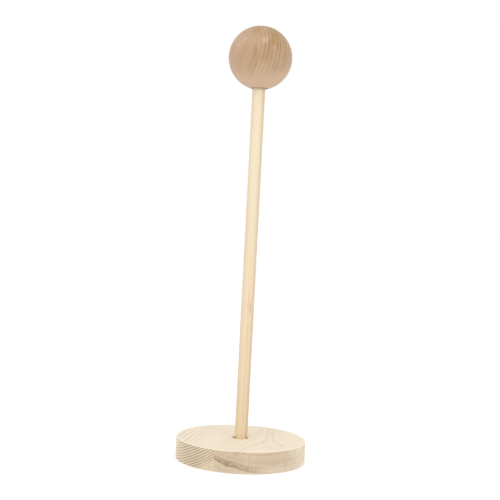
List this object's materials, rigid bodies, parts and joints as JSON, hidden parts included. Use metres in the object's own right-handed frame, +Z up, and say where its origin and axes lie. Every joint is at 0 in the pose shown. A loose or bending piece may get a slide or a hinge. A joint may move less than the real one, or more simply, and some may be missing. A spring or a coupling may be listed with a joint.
{
  "type": "wig stand",
  "caption": "Turned wooden wig stand: a round flat base, a slim upright post and a ball on top that holds a wig or hat; it pulls apart for storage.",
  "frame": {"origin": "centre of the base's flat underside, on the surface that the stand rests on", "axes": "+Z up along the post, +X to the right and +Y away from the viewer in the picture; the front of the base faces -Y"},
  "size_m": [0.12, 0.12, 0.4005],
  "materials": {
    "base_pine": "raw sanded pine, matt, with growth rings and a faint glue line",
    "post_wood": "raw sanded pale dowel, matt, fine straight grain",
    "ball_wood": "fine-sanded pinkish brown hardwood, low sheen"
  },
  "bodies": {
    "base": {"base_board_left": "base_pine", "base_board_right": "base_pine"},
    "post": {"post": "post_wood"},
    "ball": {"ball": "ball_wood"}
  },
  "joints": [
    {"name": "post_lift", "type": "slide", "parent": "base", "child": "post", "axis": [0, 0, 1], "range_m": [0, 0.025]},
    {"name": "ball_lift", "type": "slide", "parent": "post", "child": "ball", "axis": [0, 0, 1], "range_m": [0, 0.04]}
  ]
}
